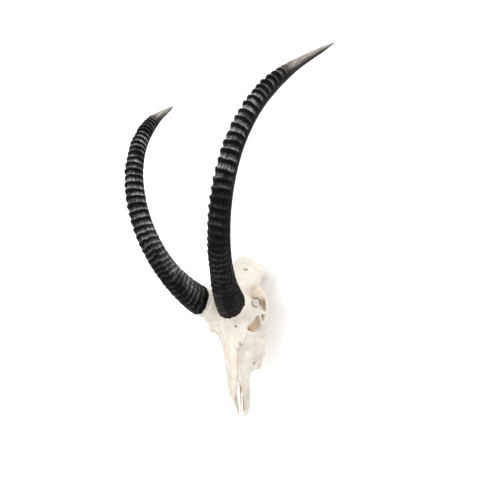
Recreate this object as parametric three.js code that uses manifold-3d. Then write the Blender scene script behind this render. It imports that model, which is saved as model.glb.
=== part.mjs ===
// Skull of a sable antelope with both horn sheaths, without its lower jaw, resting on its hind
// end and on the tips of its horns. Millimetres, +Z up, the nose towards -Y, the animal's left
// side at +X.
//
// Every piece is modelled in the skull's own frame: the tooth plane is z = 0, the tips of the
// premaxillae are at y = 0 and y grows towards the back of the head. The whole skull is then
// tipped to the way it rests.
import * as THREE from 'three';
import { mergeVertices } from 'three/addons/utils/BufferGeometryUtils.js';
import Module from 'manifold-3d';

const wasm = await Module();
wasm.setup();

// Driving dimensions
const GAP = 0.3;
const REST_PITCH = -17.6; // degrees about X: the nose rises and the horn tips touch down

const HORN_LENGTH = 878; // along the middle line, from the rim of the sheath to its tip
const HORN_BASE = [43.5, 280, 182]; // centre of the rim of the left sheath
const HORN_ROUNDNESS = 0.9; // width across over depth from front to back
const HORN_SEGMENTS = 12;
const BAR_SIDES = 6;

const BONE = new THREE.MeshStandardMaterial({ color: 0xe9e1d2, roughness: 0.7, metalness: 0 });
const KERATIN = new THREE.MeshStandardMaterial({ color: 0x26241f, roughness: 0.5, metalness: 0 });
const ENAMEL = new THREE.MeshStandardMaterial({ color: 0xe2d6bc, roughness: 0.35, metalness: 0 });

const radians = THREE.MathUtils.degToRad;
const vec = (x, y, z) => new THREE.Vector3(x, y, z);

// A closed loft: rings of equally many points, joined in order, its two ends closed by fans.
// The winding is turned the right way by the sign of the volume.
function loft(rings) {
  const count = rings[0].length;
  const positions = rings.flat().flatMap((p) => [p.x, p.y, p.z]);
  const index = [];
  for (let i = 0; i < rings.length - 1; i += 1) {
    for (let j = 0; j < count; j += 1) {
      const a = i * count + j;
      const b = i * count + ((j + 1) % count);
      index.push(a, b, a + count, b, b + count, a + count);
    }
  }
  for (const [row, turned] of [[0, false], [rings.length - 1, true]]) {
    const middle = rings[row].reduce((sum, p) => sum.add(p), vec(0, 0, 0)).divideScalar(count);
    const hub = positions.length / 3;
    positions.push(middle.x, middle.y, middle.z);
    for (let j = 0; j < count; j += 1) {
      const a = row * count + j;
      const b = row * count + ((j + 1) % count);
      index.push(...(turned ? [hub, a, b] : [hub, b, a]));
    }
  }
  const geometry = new THREE.BufferGeometry();
  geometry.setAttribute('position', new THREE.Float32BufferAttribute(positions, 3));
  geometry.setIndex(index);
  return geometry;
}

// Six times the signed volume of an indexed closed mesh.
function signedVolume(vertices, triangles) {
  const corner = [vec(0, 0, 0), vec(0, 0, 0), vec(0, 0, 0)];
  let sum = 0;
  for (let i = 0; i < triangles.length; i += 3) {
    corner.forEach((p, k) => p.fromArray(vertices, 3 * triangles[i + k]));
    sum += corner[0].dot(corner[1].cross(corner[2]));
  }
  return sum;
}

// The manifold solid of a closed geometry, its faces turned outwards.
function solid(geometry) {
  const bare = geometry.clone();
  bare.deleteAttribute('normal');
  bare.deleteAttribute('uv');
  const merged = mergeVertices(bare, 1e-4);
  const vertices = Float32Array.from(merged.attributes.position.array);
  const triangles = Uint32Array.from(merged.index.array);
  if (signedVolume(vertices, triangles) < 0) {
    for (let i = 0; i < triangles.length; i += 3) {
      [triangles[i], triangles[i + 1]] = [triangles[i + 1], triangles[i]];
    }
  }
  const mesh = { numProp: 3, vertProperties: vertices, triVerts: triangles };
  return new wasm.Manifold(new wasm.Mesh(mesh));
}

function joined(solids) {
  return solids.reduce((sum, next) => sum.add(next));
}

function meshOf(name, body, material) {
  const { vertProperties, triVerts } = body.getMesh();
  const geometry = new THREE.BufferGeometry();
  geometry.setAttribute('position', new THREE.BufferAttribute(vertProperties, 3));
  geometry.setIndex(new THREE.BufferAttribute(triVerts, 1));
  const mesh = new THREE.Mesh(geometry, material);
  mesh.name = name;
  return mesh;
}

// A left-right symmetric smooth ring across the skull at one station: half is the outline from
// the middle of the top down the left side to the middle of the bottom.
function symmetricRing(y, half, perPoint) {
  const right = half.slice(1, -1).reverse().map(([x, z]) => [-x, z]);
  const outline = [...half, ...right].map(([x, z]) => vec(x, y, z));
  const curve = new THREE.CatmullRomCurve3(outline, true, 'catmullrom', 0.5);
  return curve.getPoints(Math.round(outline.length * perPoint)).slice(0, -1);
}

// A loft through stations [y, half outline].
function symmetricLoft(stations, perPoint) {
  return solid(loft(stations.map(([y, ...half]) => symmetricRing(y, half, perPoint))));
}

// A bar along a line of points [x, y, z, width, height]: width is measured across the line and
// level, height across both.
function bar(points, side = 1) {
  const line = points.map(([x, y, z]) => vec(x * side, y, z));
  const last = line.length - 1;
  const rings = line.map((p, i) => {
    const [width, height] = points[i].slice(3);
    const along = line[Math.min(i + 1, last)].clone().sub(line[Math.max(i - 1, 0)]).normalize();
    const reference = Math.abs(along.z) > 0.85 ? vec(0, 1, 0) : vec(0, 0, 1);
    const level = reference.clone().cross(along).normalize();
    const up = along.clone().cross(level);
    return Array.from({ length: BAR_SIDES }, (_, j) => {
      const turn = (2 * Math.PI * j) / BAR_SIDES;
      return p.clone()
        .addScaledVector(level, 0.5 * width * Math.cos(turn))
        .addScaledVector(up, 0.5 * height * Math.sin(turn));
    });
  });
  return solid(loft(rings));
}

// A squashed and turned ball: its half sizes, its centre and its turns about X, Y and Z.
function ball(centre, halfSizes, turns = [0, 0, 0], detail = [7, 4]) {
  const geometry = new THREE.SphereGeometry(1, ...detail);
  geometry.scale(...halfSizes);
  const euler = new THREE.Euler(...turns.map(radians));
  geometry.applyMatrix4(new THREE.Matrix4().makeRotationFromEuler(euler));
  geometry.translate(...centre);
  return solid(geometry);
}

// A round pit or hole: a short cylinder from one point to another.
function borer(from, to, radius, sides) {
  const start = vec(...from);
  const run = vec(...to).sub(start);
  const geometry = new THREE.CylinderGeometry(radius, radius, run.length(), sides);
  const turn = new THREE.Quaternion().setFromUnitVectors(vec(0, 1, 0), run.clone().normalize());
  geometry.applyQuaternion(turn);
  geometry.translate(...start.addScaledVector(run, 0.5).toArray());
  return solid(geometry);
}

const bothSides = (make) => joined([make(1), make(-1)]);

// Horns. The angles are in degrees, as polynomials in the share of the length from the rim: the
// rise above the level line towards the back, and the splay away from the middle plane.
const HORN_RISE = [70, -136, -89, 118.5];
const HORN_SPLAY = [20.6, -25.6, 27];

const polynomial = (terms, u) => terms.reduceRight((sum, term) => sum * u + term, 0);

// Distance of the surface from the middle line, before the rings.
const HORN_RADII = [[0, 39.3], [0.03, 36.5], [0.08, 33.3], [0.16, 28.5], [0.3, 26.5], [0.5, 23], [0.68, 20.5],
  [0.75, 17.5], [0.82, 13], [0.88, 10.3], [0.95, 6.6], [1, 1.4]];

function hornRadius(u) {
  const after = Math.max(1, HORN_RADII.findIndex(([knot]) => knot >= u));
  const [u0, r0] = HORN_RADII[after - 1];
  const [u1, r1] = HORN_RADII[after];
  return r0 + ((r1 - r0) * (u - u0)) / (u1 - u0);
}

// Rings: low and close near the rim, then tall and wide apart, gone on the smooth tip.
const RING_FIRST = 0.018;
const RING_LAST = 0.765;
const RING_CLOSE = 12.5;
const RING_WIDE = 19.5;
const CREST_AT = 0.7; // rings widen slowly and end in a ledge that faces the tip

function ringStarts() {
  const starts = [];
  let s = RING_FIRST * HORN_LENGTH;
  while (s < RING_LAST * HORN_LENGTH) {
    starts.push(s);
    const grown = THREE.MathUtils.smoothstep(s / HORN_LENGTH, 0.12, 0.34);
    s += THREE.MathUtils.lerp(RING_CLOSE, RING_WIDE, grown);
  }
  return starts;
}

function ringHeight(u) {
  const rising = THREE.MathUtils.smoothstep(u, 0.1, 0.36);
  const fading = 1 - THREE.MathUtils.smoothstep(u, 0.7, 0.78);
  return (1.1 + 2.7 * rising) * fading;
}

// The middle line, with the directions across it: front is the outside of the bend, outer
// points away from the other horn. Near the rim the sections lean to lie along the brow.
function hornFrames(side) {
  const steps = 400;
  const step = HORN_LENGTH / steps;
  const line = [vec(HORN_BASE[0] * side, HORN_BASE[1], HORN_BASE[2])];
  const along = [];
  for (let i = 0; i <= steps; i += 1) {
    const share = (i + 0.5) / steps;
    const up = radians(polynomial(HORN_RISE, share));
    const out = radians(polynomial(HORN_SPLAY, share));
    along.push(vec(
      side * Math.sin(out),
      Math.cos(out) * Math.cos(up),
      Math.cos(out) * Math.sin(up),
    ));
    line.push(line[i].clone().addScaledVector(along[i], step));
  }
  return (s) => {
    const i = THREE.MathUtils.clamp(Math.floor(s / step), 0, steps - 1);
    const centre = line[i].clone().lerp(line[i + 1], s / step - i);
    const outer = vec(side, 0, 0).addScaledVector(along[i], -side * along[i].x).normalize();
    const front = outer.clone().cross(along[i]).multiplyScalar(side).normalize();
    return { centre, along: along[i], outer, front };
  };
}

const RIM_LEAN = 18; // degrees: how far the rim leans forward from a section square to the horn
const RIM_TURN = -30; // degrees: where the rim is lowest, turned inwards from its front
const LEAN_FADES = 110; // the lean is gone this far up the horn
const RIM_START = { 1: 0, '-1': 12 }; // the right sheath ends further up its horn
const OUTER_SWELL = 0.13; // share by which the outer side is wider at the rim
const SWELL_FADES = 90;
const BACK_TURN = 22; // degrees: the smooth back is turned to the outer side

function hornRing(frame, s, relief) {
  const u = s / HORN_LENGTH;
  const { centre, along, outer, front } = frame(s);
  const lean = radians(RIM_LEAN) * (1 - THREE.MathUtils.smoothstep(s, 0, LEAN_FADES));
  const swell = 1 + OUTER_SWELL * (1 - THREE.MathUtils.smoothstep(s, 0, SWELL_FADES));
  return Array.from({ length: HORN_SEGMENTS }, (_, j) => {
    const turn = (2 * Math.PI * j) / HORN_SEGMENTS;
    const facing = THREE.MathUtils.smoothstep(Math.cos(turn + radians(BACK_TURN)), -0.6, 0.2);
    const across = HORN_ROUNDNESS * (Math.sin(turn) > 0 ? swell : 1);
    const r = hornRadius(u) + relief * facing;
    return centre.clone()
      .addScaledVector(front, r * Math.cos(turn))
      .addScaledVector(outer, across * r * Math.sin(turn))
      .addScaledVector(along, -r * Math.cos(turn - radians(RIM_TURN)) * Math.tan(lean));
  });
}

function horn(side) {
  const frame = hornFrames(side);
  const starts = ringStarts();
  const rings = [hornRing(frame, RIM_START[side], 0)];
  starts.forEach((s, i) => {
    const next = starts[i + 1] ?? s + RING_WIDE;
    const height = ringHeight(s / HORN_LENGTH);
    rings.push(hornRing(frame, s, -0.65 * height));
    rings.push(hornRing(frame, s + CREST_AT * (next - s), 0.85 * height));
  });
  const tipStart = starts.at(-1) + RING_WIDE;
  const tipSteps = 9;
  for (let i = 0; i <= tipSteps; i += 1) {
    rings.push(hornRing(frame, tipStart + ((HORN_LENGTH - tipStart) * i) / tipSteps, 0));
  }
  return solid(loft(rings));
}

// Face: nasals on top, maxillae at the sides, the bony palate below.
// Each station is y, then the half outline: ridge of the nose, edge of the nasals, cheek above,
// cheek, edge of the tooth row, palate beside the middle, palate in the middle.
const FACE = [
  [94, [0, 82], [13, 79], [19, 70], [24, 50], [25, 34], [14, 28], [0, 29]],
  [112, [0, 88], [15, 85], [21, 75], [29, 52], [29, 33], [17, 27], [0, 29]],
  [128, [0, 93], [17, 89], [24, 78], [39, 54], [40, 20], [26, 17], [0, 29]],
  [150, [0, 99], [19, 95], [29, 80], [50, 54], [50, 16], [30, 15], [0, 31]],
  [175, [0, 106], [21, 101], [36, 84], [58, 56], [56, 16], [32, 14], [0, 32]],
  [200, [0, 114], [27, 109], [46, 96], [66, 66], [60, 18], [34, 14], [0, 34]],
  [222, [0, 123], [36, 120], [56, 108], [72, 78], [56, 30], [34, 24], [0, 38]],
  [246, [0, 133], [40, 128], [44, 104], [40, 74], [30, 52], [20, 44], [0, 46]],
];

// Brow and roof between the orbits and the horns, over the front of the braincase.
// Half outline: middle, beside it, shelf over the orbit, underneath the shelf, inner wall, base.
const BROW = [
  [205, [0, 112], [20, 111], [40, 100], [44, 88], [34, 72], [0, 60]],
  [226, [0, 125], [28, 125], [56, 115], [52, 100], [38, 74], [0, 58]],
  [242, [0, 138], [36, 141], [80, 129], [70, 113], [38, 76], [0, 54]],
  [256, [0, 150], [44, 155], [87, 128], [76, 112], [38, 76], [0, 52]],
  [270, [0, 159], [50, 162], [85, 123], [72, 106], [38, 74], [0, 49]],
  [284, [0, 165], [52, 165], [68, 122], [46, 102], [35, 72], [0, 48]],
  [300, [0, 166], [46, 162], [47, 128], [34, 98], [32, 66], [0, 48]],
  [322, [0, 158], [36, 150], [42, 122], [37, 94], [34, 62], [0, 48]],
];

// Braincase, falling away behind the horns to the nuchal crest.
// Half outline: middle, top edge, side above, side, edge of the base, base.
const BRAINCASE = [
  [298, [0, 160], [28, 156], [37, 126], [32, 94], [30, 60], [0, 48]],
  [325, [0, 154], [30, 147], [41, 119], [39, 90], [35, 54], [0, 44]],
  [350, [0, 132], [28, 126], [46, 106], [52, 82], [42, 50], [0, 42]],
  [375, [0, 107], [28, 103], [48, 88], [58, 70], [46, 46], [0, 42]],
  [394, [0, 98], [28, 92], [50, 76], [60, 62], [50, 46], [0, 44]],
  [408, [0, 93], [22, 88], [38, 75], [46, 60], [36, 46], [0, 46]],
  [418, [0, 88], [12, 86], [24, 77], [28, 62], [20, 52], [0, 50]],
];

// Nasal bones running free over the nasal opening, an arched plate.
const NASAL_PLATE = [
  [43, [0, 67.5], [3, 67], [4.5, 66], [3, 65], [0, 65]],
  [56, [0, 72], [8, 70.5], [12, 67], [8, 65.5], [0, 68]],
  [78, [0, 79], [12, 76.5], [17, 69], [11, 70], [0, 73.5]],
  [106, [0, 86], [14, 83.5], [19, 74], [13, 75], [0, 80]],
];

// The nasal passage, open at the front, narrowing upwards and back.
const NASAL_PASSAGE = [
  [84, [0, 74], [12, 70], [17, 54], [14, 38], [0, 33]],
  [120, [0, 78], [13, 74], [20, 56], [15, 40], [0, 35]],
  [150, [0, 82], [12, 77], [19, 62], [12, 46], [0, 42]],
  [182, [0, 80], [7, 77], [10, 68], [7, 60], [0, 57]],
];

// Premaxilla: a leaning plate with a thick lower edge. Each station is y, its lower outer edge
// [x, z], its upper inner edge [x, z] and its thickness.
const PREMAXILLA = [
  [118, [29, 36], [20, 80], 5],
  [100, [27.5, 32], [20, 74], 5],
  [84, [25.5, 28], [20.5, 66], 6],
  [67, [24, 20], [21, 54], 7],
  [48, [22.5, 12], [19.5, 41], 8],
  [26, [19.5, 6.5], [16, 28], 9],
  [10, [15, 7], [12, 20], 9],
  [1, [11.5, 10], [9, 16], 6],
];
const PALATAL_PROCESS = [[4, 10, 13, 5, 6], [3.8, 34, 17, 5, 7], [3.6, 60, 23, 5, 7],
  [5, 100, 32, 9, 9]];

function premaxilla(side) {
  const rings = PREMAXILLA.map(([y, low, high, thick]) => {
    const lean = vec(high[0] - low[0], 0, high[1] - low[1]).normalize();
    const across = vec(lean.z, 0, -lean.x).multiplyScalar(0.5 * thick);
    const middle = vec(0.5 * (low[0] + high[0]), y, 0.5 * (low[1] + high[1]));
    const reach = 0.5 * Math.hypot(high[0] - low[0], high[1] - low[1]);
    const corners = [[-1, 0], [-0.8, 0.9], [0, 0.8], [0.8, 0.6], [1, 0], [0.8, -0.6], [0, -0.8],
      [-0.8, -0.9]];
    return corners.map(([a, b]) => {
      const p = middle.clone().addScaledVector(lean, a * reach).addScaledVector(across, b);
      return vec(p.x * side, p.y, p.z);
    });
  });
  return solid(loft(rings));
}

const ARCH = [[62, 212, 80, 14, 26], [74, 232, 70, 13, 20], [82, 255, 65, 8, 16],
  [83, 282, 64, 8, 15], [79, 302, 66, 11, 13], [69, 318, 70, 26, 12], [48, 332, 74, 34, 14]];
const POSTORBITAL_BAR = [[60, 276, 124, 32, 18], [72, 274, 110, 29, 12], [80, 272, 94, 22, 9],
  [84, 270, 70, 18, 8]];
const FOSSA_LEDGE = [[78, 282, 62, 10, 9], [70, 293, 64, 14, 8], [61, 304, 66, 18, 9],
  [50, 316, 68, 20, 12]];
const NUCHAL_HALF = [[64, 390, 64, 10, 14], [53, 401, 65, 9, 12], [40, 410, 70, 9, 12],
  [24, 418, 78, 13, 12], [12, 423, 83, 17, 12]];
const NUCHAL_CREST = [...NUCHAL_HALF, [0, 424, 84, 19, 12],
  ...NUCHAL_HALF.map(([x, ...rest]) => [-x, ...rest]).reverse()];

// The rim of the left orbit, from the top of its front edge down and round, and the way from its
// middle to the bottom of the hollow.
const ORBIT_LOOP = [[56, 231, 117], [54, 222, 112], [60, 215, 104], [67, 216, 92], [74, 227, 79],
  [77, 240, 77], [80, 254, 83], [81, 264, 93], [77, 264, 108], [69, 252, 119], [62, 241, 120]];
const ORBIT_INWARDS = [-0.88, 0.36, -0.3];
const RIGHT_ORBIT_OUT = vec(9, 0, 6); // the right orbit stands further out than the left one

// The loop, shrunk towards its middle and moved along ORBIT_INWARDS.
function orbitRing(side, share, depth) {
  const points = ORBIT_LOOP.map((p) => vec(...p));
  const middle = points.reduce((sum, p) => sum.add(p), vec(0, 0, 0)).divideScalar(points.length);
  return points.map((p) => {
    const moved = p.sub(middle).multiplyScalar(share).add(middle);
    moved.addScaledVector(vec(...ORBIT_INWARDS), depth);
    if (side < 0) moved.add(RIGHT_ORBIT_OUT);
    return vec(side * moved.x, moved.y, moved.z);
  });
}

// The bony cup round the orbit, and the hollow in it.
const orbitCup = (side) => solid(loft([[1, 0], [1.06, 6], [0.95, 20], [0.8, 42]]
  .map(([share, depth]) => orbitRing(side, share, depth))));
const orbitHollow = (side) => solid(loft([[0.86, -12], [0.84, 2], [0.78, 14], [0.4, 26]]
  .map(([share, depth]) => orbitRing(side, share, depth))));

const jugularProcess = (side) => bar([[40, 378, 62, 22, 16], [41, 383, 42, 15, 10],
  [39, 386, 24, 11, 9], [37, 387, 4, 8, 8]], side);

const pterygoid = (side) => bar([[22, 228, 36, 9, 30], [21, 250, 40, 6, 34], [21, 270, 44, 5, 34],
  [23, 296, 48, 7, 22], [26, 316, 50, 10, 12]], side);

const pedicle = (side) => {
  const frame = hornFrames(side);
  const top = hornRing(frame, RIM_START[side] - GAP, 0);
  const middle = top.reduce((sum, p) => sum.add(p), vec(0, 0, 0)).divideScalar(HORN_SEGMENTS);
  const section = (share, drop, inwards) => top.map((p) => p.clone().sub(middle)
    .multiplyScalar(share).add(middle).add(vec(-side * inwards, 0, -drop)));
  return solid(loft([section(0.95, 0, 0), section(0.93, 12, 1), section(0.96, 60, 12)]));
};

function cranium() {
  const parts = [
    symmetricLoft(FACE, 1.34),
    symmetricLoft(BROW, 1.4),
    symmetricLoft(BRAINCASE, 1.4),
    bar(NUCHAL_CREST),
    bothSides(orbitCup),
    bothSides((side) => bar(ARCH, side)),
    bothSides((side) => bar(POSTORBITAL_BAR, side)),
    bothSides((side) => bar(FOSSA_LEDGE, side)),
    bothSides((side) => ball([side * 21, 407, 57], [12, 17, 15])),
    bothSides((side) => ball([side * 27, 352, 40], [12, 20, 14], [0, 0, side * 20])),
    bothSides((side) => ball([side * 75, 250, 66], [9, 26, 7])),
    bothSides((side) => ball([side * 60, 383, 60], [9, 12, 17])),
    bothSides(jugularProcess),
    bothSides(pterygoid),
    bothSides(pedicle),
    ball([-58, 224, 108], [11, 13, 17], [0, 0, 0], [6, 4]),
  ];
  const pits = [
    symmetricLoft(NASAL_PASSAGE, 1),
    borer([0, 430, 64], [0, 396, 64], 12, 8),
    bothSides(orbitHollow),
    bothSides((side) => borer([side * 58, 130, 46], [side * 30, 152, 44], 4, 6)),
    bothSides((side) => borer([side * 30, 226, 150], [side * 28, 232, 106], 3, 6)),
    bothSides((side) => borer([side * 84, 291, 124], [side * 42, 304, 58], 9, 8)),
    borer([20, 386, 110], [20, 390, 84], 5, 6),
  ];
  const front = joined([
    symmetricLoft(NASAL_PLATE, 1),
    bothSides(premaxilla),
    bothSides((side) => bar(PALATAL_PROCESS, side)),
  ]);
  return joined(parts).subtract(joined(pits)).add(front);
}

// Upper cheek teeth from front to back: name, length along the row, width across it.
const TEETH = [['premolar_2', 10, 10], ['premolar_3', 12, 13], ['premolar_4', 13, 15],
  ['molar_1', 17, 17], ['molar_2', 21, 18], ['molar_3', 21, 16]];
const ROW_START = [38, 125];
const ROW_LEAN = 0.055; // the rows drift apart towards the back, in mm per mm
const CROWN = 14; // height of the crowns below the sockets
const ROOT = 7;

// The outline of a tooth from below: two lobes on the inner side of a molar, one on a premolar.
function toothOutline(length, width, grow) {
  const lobes = length > 15 ? 2 : 1;
  const count = lobes * 6 + 2;
  const points = Array.from({ length: count }, (_, i) => {
    const turn = (2 * Math.PI * i) / count;
    const pinch = lobes === 2 ? 1 - 0.13 * Math.cos(2 * turn + Math.PI) : 1;
    return new THREE.Vector2(
      (0.5 * width * pinch + grow) * Math.cos(turn),
      (0.5 * length - 0.25 + grow) * Math.sign(Math.sin(turn)) * Math.abs(Math.sin(turn)) ** 0.75,
    );
  });
  return new THREE.Shape(points);
}

function toothSolid(length, width, x, y, grow, bottom, top) {
  const geometry = new THREE.ExtrudeGeometry(toothOutline(length, width, grow), {
    depth: top - bottom,
    bevelEnabled: false,
  });
  geometry.translate(x, y, bottom);
  return solid(geometry);
}

function teeth(side) {
  let y = ROW_START[1];
  return TEETH.map(([name, length, width]) => {
    const middle = y + 0.5 * length;
    y += length;
    const x = side * (ROW_START[0] + ROW_LEAN * (middle - ROW_START[1]) + 0.35 * width - 4);
    return {
      name: `${side > 0 ? 'left' : 'right'}_${name}`,
      crown: toothSolid(length, width, x, middle, 0, 0, CROWN + ROOT),
      socket: toothSolid(length, width, x, middle, GAP, CROWN - 12, CROWN + ROOT + GAP),
    };
  });
}

const allTeeth = [...teeth(1), ...teeth(-1)];
const sockets = joined(allTeeth.map((tooth) => tooth.socket));
const leftHorn = meshOf('left_horn', horn(1), KERATIN);
const rightHorn = meshOf('right_horn', horn(-1), KERATIN);

// What the resting skull stands on: the level plane under the horn tips. The ends of the jugular
// processes are worn flat on it.
const resting = new THREE.Matrix4().makeRotationX(radians(REST_PITCH));
const floorHeight = new THREE.Box3().setFromBufferAttribute(
  leftHorn.geometry.attributes.position.clone().applyMatrix4(resting),
).min.z;
const underneath = new THREE.BoxGeometry(400, 400, 100);
underneath.translate(0, 350, floorHeight - 50);
underneath.applyMatrix4(resting.clone().invert());

const bone = cranium().subtract(sockets).subtract(solid(underneath));
const skull = new THREE.Group();
skull.add(meshOf('cranium', bone, BONE), leftHorn, rightHorn);
allTeeth.forEach((tooth) => skull.add(meshOf(tooth.name, tooth.crown, ENAMEL)));
skull.rotation.x = radians(REST_PITCH);

// The origin goes to the middle of the underside of the box round the resting skull.
const part = new THREE.Group();
part.add(skull);
part.updateMatrixWorld(true);
const box = new THREE.Box3().setFromObject(part, true);
skull.position.set(-0.5 * (box.min.x + box.max.x), -0.5 * (box.min.y + box.max.y), -box.min.z);
part.updateMatrixWorld(true);

export default part;
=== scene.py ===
"""Looks of a sable antelope skull with both horn sheaths, resting on its hind end and horn tips.

Shapes are worked out in the skull's own frame, in millimetres: x to the animal's left, y from the
tips of the premaxillae to the back of the head, z up from the tooth plane. to_row() tips the skull
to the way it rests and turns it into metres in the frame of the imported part.
"""

import bpy
import numpy as np
from mathutils import Matrix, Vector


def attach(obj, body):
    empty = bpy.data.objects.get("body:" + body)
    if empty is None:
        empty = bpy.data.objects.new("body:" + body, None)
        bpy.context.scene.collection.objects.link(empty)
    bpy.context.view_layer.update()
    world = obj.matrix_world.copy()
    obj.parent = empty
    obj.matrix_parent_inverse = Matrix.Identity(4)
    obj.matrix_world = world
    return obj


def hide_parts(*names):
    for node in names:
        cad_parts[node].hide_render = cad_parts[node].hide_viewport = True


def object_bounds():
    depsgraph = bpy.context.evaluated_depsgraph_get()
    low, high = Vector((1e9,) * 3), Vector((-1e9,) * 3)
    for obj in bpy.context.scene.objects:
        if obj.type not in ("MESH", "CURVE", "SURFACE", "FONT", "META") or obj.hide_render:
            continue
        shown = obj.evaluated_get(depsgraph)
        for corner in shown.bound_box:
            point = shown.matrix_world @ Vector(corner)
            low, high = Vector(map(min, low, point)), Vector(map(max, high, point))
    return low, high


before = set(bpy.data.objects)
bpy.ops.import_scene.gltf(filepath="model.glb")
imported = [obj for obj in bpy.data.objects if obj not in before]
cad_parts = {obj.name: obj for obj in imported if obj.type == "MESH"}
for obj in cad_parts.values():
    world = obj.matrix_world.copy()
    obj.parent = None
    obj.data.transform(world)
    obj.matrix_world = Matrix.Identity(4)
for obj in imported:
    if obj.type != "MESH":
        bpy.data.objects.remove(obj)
cad_low, cad_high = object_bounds()

MM = 0.001
REST_PITCH = np.radians(-17.6)
SIDES = {1: "left", -1: "right"}


# Skull frame and row frame

def tipped(points):
    """Points turned about X by the rest pitch: y' = y cos - z sin, z' = y sin + z cos."""
    c, s = np.cos(REST_PITCH), np.sin(REST_PITCH)
    x, y, z = np.moveaxis(np.asarray(points, float), -1, 0)
    return np.stack([x, y * c - z * s, y * s + z * c], -1)


# Horn middle line, as in the solids: angles are polynomials in the share of the length.
HORN_LENGTH = 878
HORN_BASE = np.array([43.5, 280, 182])
HORN_ROUNDNESS = 0.9
HORN_RISE = [70, -136, -89, 118.5]
HORN_SPLAY = [20.6, -25.6, 27]
# Share of the length, distance of the surface from the middle line
HORN_RADII = np.array([[0, 39.3], [0.03, 36.5], [0.08, 33.3], [0.16, 28.5], [0.3, 26.5], [0.5, 23],
                       [0.68, 20.5], [0.75, 17.5], [0.82, 13], [0.88, 10.3], [0.95, 6.6], [1, 1.4]])
RIM_LEAN, RIM_TURN, LEAN_FADES = 18, -30, 110  # degrees, degrees, mm along the horn
RIM_START = {1: 0, -1: 12}  # the right sheath ends further up its horn
OUTER_SWELL, SWELL_FADES = 0.13, 90  # the outer side is wider at the rim
CREST_AT = 0.7  # the rings widen slowly and end in a ledge that faces the tip
BACK_TURN = np.radians(22)  # the smooth back is turned to the outer side
RING_FIRST, RING_CLOSE, RING_WIDE = 0.018, 12.5, 19.5  # share of the length, then mm
RING_LAST = {1: 0.765, -1: 0.92}  # low rings run on almost to the tip of the right horn


def smoothstep(value, low, high):
    """0 below low, 1 above high, 3 t squared - 2 t cubed in between."""
    t = np.clip((value - low) / (high - low), 0, 1)
    return t * t * (3 - 2 * t)


def catmull(values, at):
    """Uniform cubic through values (first axis), read at fractional indices; ends repeat."""
    values = np.asarray(values, float)
    last = len(values) - 1
    i = np.clip(np.floor(at).astype(int), 0, last - 1)
    t = (at - i).reshape((-1,) + (1,) * (values.ndim - 1))
    p0, p1 = values[np.maximum(i - 1, 0)], values[i]
    p2, p3 = values[i + 1], values[np.minimum(i + 2, last)]
    return 0.5 * (2 * p1 + (p2 - p0) * t + (2 * p0 - 5 * p1 + 4 * p2 - p3) * t ** 2
                  + (3 * p1 - p0 - 3 * p2 + p3) * t ** 3)


def closed_curve(corners, count):
    """Closed uniform cubic through the corners (..., n, 2), count points per curve."""
    n = corners.shape[-2]
    at = np.arange(count) * n / count
    i = np.floor(at).astype(int)
    t = (at - i)[:, None]
    p0, p1, p2, p3 = (corners[..., (i + k) % n, :] for k in (-1, 0, 1, 2))
    return 0.5 * (2 * p1 + (p2 - p0) * t + (2 * p0 - 5 * p1 + 4 * p2 - p3) * t ** 2
                  + (3 * p1 - p0 - 3 * p2 + p3) * t ** 3)


def horn_frames(s, side=1):
    """Centre, direction, outer and front vectors of the horn at distances s along it.

    The direction has the rise and splay angles of the two polynomials; the centre is its running
    sum from the rim.
    """
    steps = 1600
    share = (np.arange(steps) + 0.5) / steps
    up = np.radians(np.polyval(HORN_RISE[::-1], share))
    out = np.radians(np.polyval(HORN_SPLAY[::-1], share))
    along = np.stack([side * np.sin(out), np.cos(out) * np.cos(up), np.cos(out) * np.sin(up)], -1)
    line = HORN_BASE * [side, 1, 1] + np.concatenate(
        [np.zeros((1, 3)), np.cumsum(along, 0) * HORN_LENGTH / steps])
    at = np.asarray(s) / HORN_LENGTH * steps
    centre = np.stack([np.interp(at, np.arange(steps + 1), line[:, k]) for k in range(3)], -1)
    centre += np.minimum(at, 0)[:, None] * HORN_LENGTH / steps * along[0]
    direction = np.stack([np.interp(at - 0.5, np.arange(steps), along[:, k]) for k in range(3)], -1)
    outer = np.array([side, 0, 0]) - side * direction[:, :1] * direction
    outer /= np.linalg.norm(outer, axis=1, keepdims=True)
    front = side * np.cross(outer, direction)
    front /= np.linalg.norm(front, axis=1, keepdims=True)
    return centre, direction, outer, front


def horn_points(s, turn, relief, side=1):
    """Surface points of a horn: the middle line plus radius times front cos + outer sin.

    s, turn and relief have the same shape (rows along the horn, columns round it). Near the rim
    each section leans along the brow.
    """
    shape = s.shape
    centre, along, outer, front = (a.reshape(shape + (3,)) for a in horn_frames(s.ravel(), side))
    u = np.clip(s / HORN_LENGTH, 0, 1)
    r = (np.interp(u, *HORN_RADII.T) + relief)[..., None]
    lean = np.radians(RIM_LEAN) * (1 - smoothstep(s, 0, LEAN_FADES))[..., None]
    turn = turn[..., None]
    swell = 1 + OUTER_SWELL * (1 - smoothstep(s, 0, SWELL_FADES))[..., None] * (np.sin(turn) > 0)
    return (centre + front * r * np.cos(turn) + outer * HORN_ROUNDNESS * r * swell * np.sin(turn)
            - along * r * np.cos(turn - np.radians(RIM_TURN)) * np.tan(lean))


# The skull's place in the row frame: the origin is the middle of the underside of the box.
tip_low = tipped(horn_points(np.full((1, 12), HORN_LENGTH), np.linspace(0, 2 * np.pi, 12,
                 endpoint=False)[None], np.zeros((1, 12))))[0]
PLACE = np.array([0, cad_high[1] / MM - tip_low[:, 1].max(), -tip_low[:, 2].min()])


def to_row(points):
    """Skull millimetres to the row frame in metres."""
    return (tipped(points) + PLACE) * MM


# Meshes from arrays

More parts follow.
